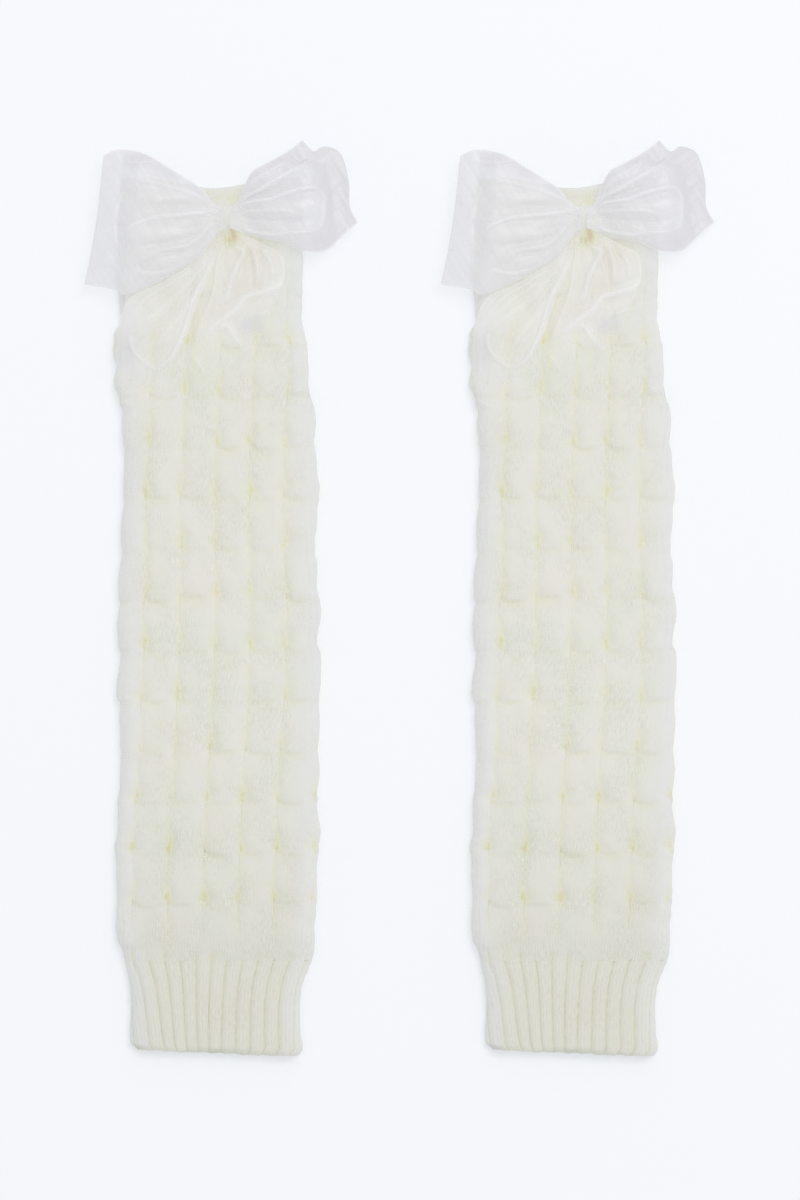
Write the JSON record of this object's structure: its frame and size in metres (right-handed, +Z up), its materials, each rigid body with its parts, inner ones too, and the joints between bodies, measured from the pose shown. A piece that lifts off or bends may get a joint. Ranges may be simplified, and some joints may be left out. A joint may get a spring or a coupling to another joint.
{
  "type": "pair of knitted leg warmers with ribbon bows",
  "caption": "Pair of long cream leg warmers laid flat: tubes of puffed cable knit with a ribbed cuff, a plain band and a sheer ribbon bow at the top edge.",
  "frame": {"origin": "on the surface that the pair lies on, below the centre of the pair's bounding box", "axes": "+Y from the ribbed cuffs to the bows, +X from the left leg warmer to the right one as seen from above, +Z up from the surface"},
  "size_m": [0.3142, 0.4575, 0.0257],
  "materials": {
    "cable_knit": "soft matt acrylic yarn in puffed cables",
    "rib_knit": "soft matt acrylic yarn in ribs",
    "plain_knit": "soft matt acrylic yarn, smooth",
    "organza": "sheer crisp ribbon with a light gloss"
  },
  "bodies": {
    "root": {"left_body": "cable_knit", "left_cuff": "rib_knit", "left_top_band": "plain_knit", "left_bow_knot": "organza", "left_bow_loop_left": "organza", "left_bow_loop_right": "organza", "left_bow_tail_left": "organza", "left_bow_tail_right": "organza", "right_body": "cable_knit", "right_cuff": "rib_knit", "right_top_band": "plain_knit", "right_bow_knot": "organza", "right_bow_loop_left": "organza", "right_bow_loop_right": "organza", "right_bow_tail_left": "organza", "right_bow_tail_right": "organza"}
  },
  "joints": []
}
